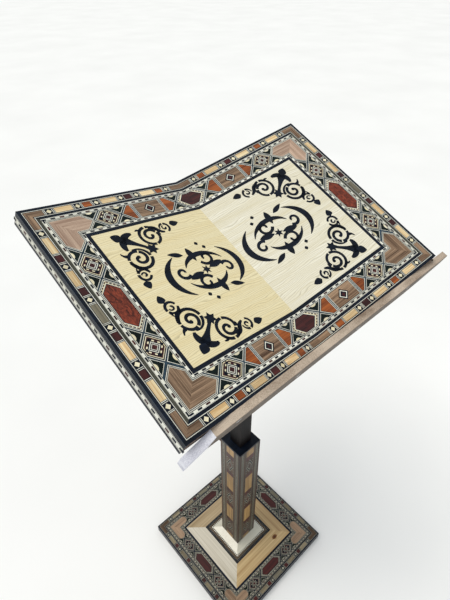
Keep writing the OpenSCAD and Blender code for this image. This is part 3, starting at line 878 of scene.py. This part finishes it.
@dataclass
class Leaf:
    """One inlaid leaf of the head: its face, its outer edge, its back edge and its page."""
    side: int
    width: float = 247.5
    depth: float = 332.0
    border: float = 62.0
    thick: float = 20.0

    @property
    def hand(self) -> str:
        """Returns the leaf's side in words."""
        return "left" if self.side < 0 else "right"

    def rails(self) -> list[Rail]:
        """Returns the runs of the border: front, outer side and back."""
        w, d = self.width, self.depth
        return [Rail((0, 0), (1, 0), (0, 1), w, False, True),
                Rail((w, 0), (0, 1), (-1, 0), d),
                Rail((w, d), (-1, 0), (0, -1), w, True, False)]

    def across_blocks(self) -> list[tuple[float, float, Wood | None]]:
        """Returns the block band's pieces from the crease outwards."""
        w, m, p, r = Wood.WALNUT, Wood.MAPLE, Wood.PADAUK, Wood.ROSE
        return [(0, 19, w), (23.6, 31, None), (35.6, 47, p), (50.8, 74, m), (77.6, 85.2, None), (90, 101.5, r),
                (104, 111.6, None), (115, 138.4, m), (142, 149.8, None), (153.8, 165.4, p), (169, 176.6, None),
                (180.6, 203.6, m), (207.6, 215.4, None), (219, 260, w)]

    def up_blocks(self) -> list[tuple[float, float, Wood | None]]:
        """Returns the side run's pieces from the front corner to the middle, then mirrored to the back."""
        w, m, r, g = Wood.WALNUT, Wood.MAPLE, Wood.ROSE, Wood.GREY
        half = [(0, 34.3, w), (37.4, 45.4, None), (49, 73.6, m), (77.2, 87.4, r), (91.4, 99.4, None),
                (102.6, 124.8, m), (128.2, 138.6, r), (142, 149.8, None)]
        middle = self.depth / 2
        return half + [(153.2, self.depth - 153.2, g)] + [
            (2 * middle - b, 2 * middle - a, wood) for a, b, wood in reversed(half)]

    def hexagon_band(self, border: Border) -> None:
        """Lays the wide band: crease figure, long hexagons, mosaics, corner pieces and the side's burl."""
        t = (23.9, 53.3)
        front, side, back = border.rails
        panel = border.panel
        panel.strip(border.rails, Wood.STEEL, *t)
        for rail, flip in ((front, 1), (back, -1)):
            def span(a: float, b: float) -> Point:
                """Returns a span from the crease as a span along the run."""
                return (a, b) if flip > 0 else (rail.length - b, rail.length - a)

            def turned(first: bool, last: bool) -> tuple[bool, bool]:
                """Returns which ends are pointed, in the order of the run."""
                return (first, last) if flip > 0 else (last, first)
            border.figure(rail, (span(-29.2, 29.2), span(-21.4, 21.4)), t, 2.2, 3.6, Wood.ROSE)
            panel.shape(rail, Wood.STEEL, border.lozenge(span(30.0, 124.6), t), 2, TRIPLE)
            inner = (t[0] + 2.2, t[1] - 2.2)
            panel.shape(rail, Wood.PADAUK, border.lozenge(span(33.0, 51.6), inner, turned(True, False)), 3)
            panel.shape(rail, Wood.PADAUK, border.lozenge(span(105.4, 121.6), inner, turned(False, True)), 3)
            panel.block(rail, Wood.WALNUT, span(57.2, 99.6), inner, 3)
            for a in (51.6, 99.6):
                for shift, wood in ((0.4, Wood.HOLLY), (2.5, Wood.HOLLY), (4.8, Wood.HOLLY)):
                    panel.block(rail, wood, span(a + shift, a + shift + 0.65), inner, 4, True)
            centre = (sum(span(78.0, 78.0)) / 2, (t[0] + t[1]) / 2)
            for r, wood, level in ((9.8, Wood.EBONY, 4), (7.6, Wood.HOLLY, 5), (6.0, Wood.EBONY, 6),
                                   (3.2, Wood.ROSE, 7)):
                panel.diamond(rail, wood, centre, (r, r), level)
            border.mosaic(rail, span(125.4, 166.1), t)
            for a in (29.6, 125.0, 166.5):
                border.crossing(rail, sum(span(a, a)) / 2, t)
        middle = self.depth / 2
        border.figure(side, ((middle - 41.1, middle + 41.1), (middle - 33.8, middle + 33.8)), t, 2.2, 3.6, Wood.BURL)
        for way in (-1, 1):
            far = sorted((middle + way * 41.9, middle + way * 82.6))
            border.mosaic(side, tuple(far), t)
            for a in (41.5, 83.0):
                border.crossing(side, middle + way * a, t)
        border.corner(front, side, 80.6, t, Wood.WALNUT)
        # the back corner is cut from the paler walnut as painted sheen
        border.corner(side, back, 82.4, t, Wood.TAN)

    def face(self) -> None:
        """Lays the leaf's face: every line and band, from the outer edge to the page."""
        panel = Inlay(f"inlay_face_{self.hand}", "head", leaf_place(self.side), seed=11 + self.side)
        rails = self.rails()
        border = Border(panel, rails)
        for near, far, wood in ((4.2, 4.9, Wood.HOLLY), (14.9, 15.6, Wood.HOLLY), (19.7, 20.2, Wood.HOLLY)):
            panel.strip(rails, wood, near, far)
        # the black strip on the outer side run is laid grey-green as painted sheen
        panel.strip(rails[1:2], Wood.SIDE_SHEEN_GREY, 16.3, 19.6)
        front, side, back = rails
        blocks, band = self.across_blocks(), (5.8, 14.0)
        border.block_band(front, blocks, band)
        border.block_band(side, self.up_blocks(), band)
        border.block_band(back, [(back.length - b, back.length - a, wood) for a, b, wood in reversed(blocks)], band)
        border.chequer(20.4, 23.7)
        border.chequer(53.5, 56.7)
        self.hexagon_band(border)
        ornament = Ornament(panel, self.width - self.border, self.border, self.depth - 2 * self.border)
        ornament.corner(False)
        ornament.corner(True)
        ornament.roundel()
        panel.finish(True)

    def edge(self) -> None:
        """Lays the chequered strips on the leaf's outer and back edges."""
        leaf = leaf_place(self.side)
        outer = Matrix(((0, 0, 1, self.width), (1, 0, 0, 0), (0, 1, 0, -self.thick), (0, 0, 0, 1)))
        back = Matrix(((-1, 0, 0, self.width), (0, 0, 1, self.depth), (0, 1, 0, -self.thick), (0, 0, 0, 1)))
        for word, place, length in (("side", outer, self.depth), ("back", back, self.width)):
            panel = Inlay(f"inlay_{word}_edge_{self.hand}", "head", leaf @ place, seed=31 + self.side)
            rail = Rail((0, 0), (1, 0), (0, 1), length, False, False)
            # the blue-grey strip at the top of each edge, 19.2 to 19.8 mm up, is a painted highlight along the arris
            for near, far, wood in ((4.3, 5.0, Wood.HOLLY), (5.7, 11.3, Wood.HOLLY), (12.0, 12.7, Wood.HOLLY),
                                    (19.2, 19.8, Wood.STEEL)):
                panel.strip([rail], wood, near, far)
            panel.dashes(rail, (0, 8.5), (length, 8.5), (6.2, 3.6), 11.8, [Wood.EBONY, Wood.EBONY, Wood.ROSE], 2)
            panel.finish()

    def build(self) -> None:
        """Lays everything on the leaf."""
        self.face()
        self.edge()


@dataclass
class Base:
    """The inlaid square base with its plinth."""
    half: float = 150.0
    top: float = 20.0
    plinth_half: float = 60.0
    plinth_top: float = 28.5

    def blocks(self) -> list[tuple[float, float, Wood | None]]:
        """Returns the narrow band's pieces along one side of the base."""
        t, m, r, g = Wood.SHADE_BROWN, Wood.MAPLE, Wood.ROSE, Wood.GREY
        half = [(0, 30, t), (33, 40, None), (43.4, 65, m), (68.4, 77.4, r), (80.6, 87.6, None), (91, 112, m),
                (115.4, 124.4, r), (127.6, 134.6, None)]
        whole = 2 * self.half
        return half + [(138, whole - 138, g)] + [(whole - b, whole - a, wood) for a, b, wood in reversed(half)]

    def border(self) -> None:
        """Lays the base's border."""
        panel = Inlay("inlay_base", "column_base", Matrix.Translation((0, 0, self.top)), seed=51, shade_swaps=SHADED_WOODS)
        rails = square_rails(self.half)
        border = Border(panel, rails)
        for near, far, wood in ((3.2, 3.7, Wood.HOLLY), (12.4, 12.9, Wood.HOLLY), (15.6, 16.1, Wood.HOLLY),
                                (48.6, 49.1, Wood.HOLLY)):
            panel.strip(rails, wood, near, far)
        border.chequer(17.2, 20.2, 8.4, (4.2, 1.7))
        border.chequer(45.0, 48.0, 8.4, (4.2, 1.7))
        t = (21.0, 44.4)
        middle = self.half
        for i, rail in enumerate(rails):
            border.block_band(rail, self.blocks(), (4.2, 12.0))
            border.figure(rail, ((middle - 34.8, middle + 34.8), (middle - 30, middle + 30)), t, 1.6, 3.8, Wood.ROSE)
            for way in (-1, 1):
                border.mosaic(rail, tuple(sorted((middle + way * 37.6, middle + way * 76.6))), t)
                for a in (36.2, 78.0):
                    border.crossing(rail, middle + way * a, t)
            border.corner(rail, rails[(i + 1) % 4], middle - 79.0, t, Wood.TAN, True)
        panel.finish()

    def plinth(self) -> None:
        """Lays the plinth's chequered edge and its row of white teeth."""
        panel = Inlay("inlay_plinth", "column_base", Matrix.Translation((0, 0, self.plinth_top)), seed=61)
        rails = square_rails(self.plinth_half)
        panel.strip(rails, Wood.PEARL, 5.6, 6.0)
        panel.strip(rails, Wood.SHADE_BROWN, 6.6, 13.6)
        for rail in rails:
            for t, size, wood in ((2.6, (1.7, 1.3), Wood.GREY), (8.6, (1.9, 1.4), Wood.GREY),
                                  (12.2, (2.3, 2.6), Wood.HOLLY)):
                panel.dashes(rail, (t, t), (rail.length - t, t), size, 4.4, [wood], 3)
        panel.finish()

    def build(self) -> None:
        """Lays the border and the plinth's edge."""
        self.border()
        self.plinth()


@dataclass
class Column:
    """The four inlaid faces of the square column."""
    half: float = 28.8
    foot: float = 28.5
    top: float = 426.0
    period: float = 138.0
    first: float = 20.0

    def face(self, quarter: int, word: str) -> None:
        """Lays one face: edge strips, chequered lines and a middle strip of maple blocks and mosaics."""
        upright = Matrix(((1, 0, 0, 0), (0, 0, -1, -self.half), (0, 1, 0, 0), (0, 0, 0, 1)))
        place = Matrix.Rotation(quarter * math.pi / 2, 4, "Z") @ upright
        panel = Inlay(f"inlay_column_{word}", "column_base", place, seed=71 + quarter, shade_swaps=SHADED_WOODS)
        low, high = self.foot, self.top
        rail = Rail((-self.half, low), (0, 1), (1, 0), high - low, False, False)
        wide = 2 * self.half
        for near, far, wood in ((0.8, 5.0, Wood.SHADE_BROWN), (5.8, 6.4, Wood.PEARL), (7.0, 10.4, Wood.GREY),
                                (11.0, 11.6, Wood.PEARL), (12.2, 17.0, Wood.SHADE_BROWN), (17.4, 18.0, Wood.GREY)):
            panel.strip([rail], wood, near, far)
            panel.strip([rail], wood, wide - far, wide - near)
        for t in (8.7, wide - 8.7):
            panel.dashes(rail, (0, t), (high - low, t), (2.6, 1.8), 5.2, [Wood.EBONY], 2)
        t = (18.4, wide - 18.4)
        border = Border(panel, [rail])
        middle = self.first - low
        while middle - 30 < high - low:
            for wood, a, b in ((Wood.ROSE, -43.5, -30.6), (Wood.HONEY, -30, 30), (Wood.ROSE, 30.6, 43.5)):
                first, last = max(0.6, middle + a), min(high - low - 0.6, middle + b)
                if last - first > 1.5:
                    panel.block(rail, wood, (first, last), t, 2)
            if middle + self.period / 2 + 25 < high - low:
                self.figure(panel, rail, middle + self.period / 2, t)
            middle += self.period
        panel.finish()

    def figure(self, panel: Inlay, rail: Rail, s: float, t: Point) -> None:
        """Lays a tall mosaic: dotted ground, long black diamond, white lines and red core."""
        ct, half = (t[0] + t[1]) / 2, (t[1] - t[0]) / 2
        panel.block(rail, Wood.SHADE_BROWN, (s - 24.6, s + 24.6), t, 2)
        for share, wood, level in ((0.98, Wood.PEARL, 3), (0.88, Wood.EBONY, 4), (0.62, Wood.BONE, 5),
                                   (0.5, Wood.SHADE_BROWN, 6), (0.28, Wood.ROSE, 7)):
            panel.diamond(rail, wood, (s, ct), (24.0 * share, half * share), level)
        for way in (-1, 1):
            for side in (t[0] + 1.6, t[1] - 1.6):
                panel.dashes(rail, (s + way * 17 - 6, side), (s + way * 17 + 6, side), (2.2, 1.6), 4.2,
                             [Wood.BONE, Wood.ROSE], 3)

    def build(self) -> None:
        """Lays all four faces."""
        for quarter, word in enumerate(("front", "right", "back", "left")):
            self.face(quarter, word)


class Hardware:
    """Finishes of the plain pieces, by the name of the CAD node that each one dresses."""

    def dress(self, node: str, finish: Timber | Metal | Speckled) -> None:
        """Puts a finish on every material slot of a CAD node."""
        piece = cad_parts[node]
        material = made_finish(finish)
        if not piece.material_slots:
            piece.data.materials.append(material)
        for slot in piece.material_slots:
            slot.link = "OBJECT"
            slot.material = material
        LOG.info("%s: %s", node, finish.name)

    def build(self) -> None:
        """Dresses every CAD node."""
        pine, core, post = FIXED["pine"], FIXED["core"], FIXED["post"]
        # painted light on the base frame: the left board is paler as painted sheen from the light on the left, and the
        # back board darker as painted shade under the head
        pine_painted_sheen = Timber("planed pine, pale board", "#d0c9b9", "#a99f8a", run=Run.Y, **PLANED)
        pine_painted_shade = Timber("planed pine, dull board", "#c2ad8c", "#96805f", run=Run.X, **PLANED)
        knotty = Timber("planed pine with a knot", "#dcc394", "#ad8c5e", knot=(57.0, -78.0), run=Run.X, **PLANED)
        # the blue in this black is painted reflection of the sky; the lipping itself is black
        black = Timber("dyed black lipping, satin varnish", "#121d2e", "#080d16", pores=0.15, roughness=0.35,
                       varnish=0.0, gloss=0.22, run=Run.X)
        # the ledge's front lies its thickness before the crease, measured up the slope; before it the ledge's front
        # face is darkened as painted shade
        slope = math.radians(SLOPE)
        front = CREASE[1] * math.cos(slope) + CREASE[2] * math.sin(slope) - LEDGE_THICK
        ledge = Speckled("sawn limewood ledge, bare, stained front", "#cbb9a6", "#7e6a58", stained=front)
        # the end block's bluish white is partly its pale timber and partly a painted highlight from the light on the
        # left
        tip = Speckled("highlighted pale end block, bare", "#f0f0f8", "#b8b8c8")
        brass = Metal("turned brass", "#c9a050", 0.3)
        steel = Metal("zinc-plated steel", "#b9bbc0", 0.35)
        knob = Timber("turned beech knob, dark stain", "#6a4630", "#3a2418", pores=0.3, roughness=0.35, run=Run.Y)
        table = {
            "base_board": core, "base_lipping": black, "base_marquetry": black, "plinth_marquetry": black,
            "base_frame_front": knotty, "base_frame_back": pine_painted_shade, "base_frame_left": pine_painted_sheen,
            "base_frame_right": pine.along(Run.Y), "plinth_block": black, "foot_moulding": FIXED["moulding"],
            "foot_block": FIXED["beech"], "column_collar": black, "clamp_insert": brass, "clamp_pad": brass,
            "clamp_screw": steel, "clamp_knob": knob, "post": post, "neck_block": post,
            "neck_dowels": FIXED["beech"], "cradle_plate": core, "cradle_screws": steel, "base_screws": steel,
            "ledge_screws": steel, "cradle_wedge_left": core, "cradle_wedge_right": core,
            "leaf_core_left": core, "leaf_core_right": core, "leaf_marquetry_left": black,
            "leaf_marquetry_right": black, "page_left": FIXED["page left"], "page_right": FIXED["page right"],
            "side_band_left": black, "side_band_right": black, "back_band_left": black, "back_band_right": black,
            "book_ledge": ledge, "ledge_end_block": tip,
        }
        for side in ("front", "back", "left", "right"):
            table[f"column_wall_{side}"] = FIXED["beech"].along(Run.Z)
            table[f"column_face_{side}"] = black
        for node, finish in table.items():
            self.dress(node, finish)


@dataclass
class Studio:
    """Pale floor, one soft light and the camera."""
    place: tuple[float, float, float] = (-0.3743, -0.3682, 1.2122)
    heading: float = -42.2128
    down: float = 38.5468
    roll: float = -0.3685
    lens: float = 26.25

    def floor(self) -> None:
        """Makes a large pale floor with a faint unevenness."""
        material, tree, shader = new_material("matt white studio floor")
        place = add(tree, "TexCoord").outputs["Object"]
        cloud = add(tree, "TexNoise", {"Vector": place, "Scale": 1.5, "Detail": 3.0}).outputs[0]
        tree.links.new(ramp(tree, cloud, [(0.3, linear("#f4f4f4")), (0.7, linear("#fafafa"))]),
                       shader.inputs["Base Color"])
        shader.inputs["Roughness"].default_value = 0.9
        bm = bmesh.new()
        bmesh.ops.create_grid(bm, x_segments=8, y_segments=8, size=60.0)
        mesh = bpy.data.meshes.new("studio_floor")
        bm.to_mesh(mesh)
        bm.free()
        mesh.materials.append(material)
        floor = bpy.data.objects.new("studio_floor", mesh)
        bpy.context.scene.collection.objects.link(floor)

    def lamp(self, name: str, towards: tuple, spread: float, strength: float, colour: str) -> None:
        """Adds a wide far-off light.

        Args:
            name: the light's name.
            towards: direction from the stand to the light.
            spread: how wide it looks from the stand, in degrees, which softens its shadows.
            strength: its power per square metre.
            colour: its colour.
        """
        light = bpy.data.lights.new(name, "SUN")
        light.angle, light.energy, light.color = math.radians(spread), strength, linear(colour)[:3]
        lamp = bpy.data.objects.new(name, light)
        lamp.matrix_world = Vector(towards).to_track_quat("Z", "Y").to_matrix().to_4x4()
        bpy.context.scene.collection.objects.link(lamp)

    def light(self) -> None:
        """Lights the stand from above, a little behind and to the left, with a soft fill all round."""
        world = bpy.data.worlds.new("studio")
        world.use_nodes = True
        world.node_tree.nodes["Background"].inputs[0].default_value = (0.88, 0.95, 1.0, 1.0)
        world.node_tree.nodes["Background"].inputs[1].default_value = 0.52
        bpy.context.scene.world = world
        self.lamp("daylight", (-0.3, 0.14, 0.94), 40.0, 1.95, "#fffaf0")
        bpy.context.scene.view_settings.view_transform = "Standard"

    def camera(self) -> None:
        """Sets the camera above and before the head's left corner."""
        data = bpy.data.cameras.new("camera")
        data.sensor_fit, data.sensor_height, data.lens = "VERTICAL", 36.0, self.lens
        data.clip_start = 0.05
        camera = bpy.data.objects.new("camera", data)
        turn = [(self.heading, "Z"), (90 - self.down, "X"), (self.roll, "Z")]
        matrix = Matrix.Translation(self.place)
        for angle, axis in turn:
            matrix = matrix @ Matrix.Rotation(math.radians(angle), 4, axis)
        camera.matrix_world = matrix
        bpy.context.scene.collection.objects.link(camera)
        bpy.context.scene.camera = camera

    def build(self) -> None:
        """Sets up floor, light and camera."""
        self.floor()
        self.light()
        self.camera()


def main() -> None:
    """Builds every piece in order."""
    logging.basicConfig(level=logging.INFO, format="%(message)s")
    Studio().build()
    Hardware().build()
    for side in (-1, 1):
        Leaf(side).build()
    Column().build()
    Base().build()


if __name__ == "__main__":
    main()
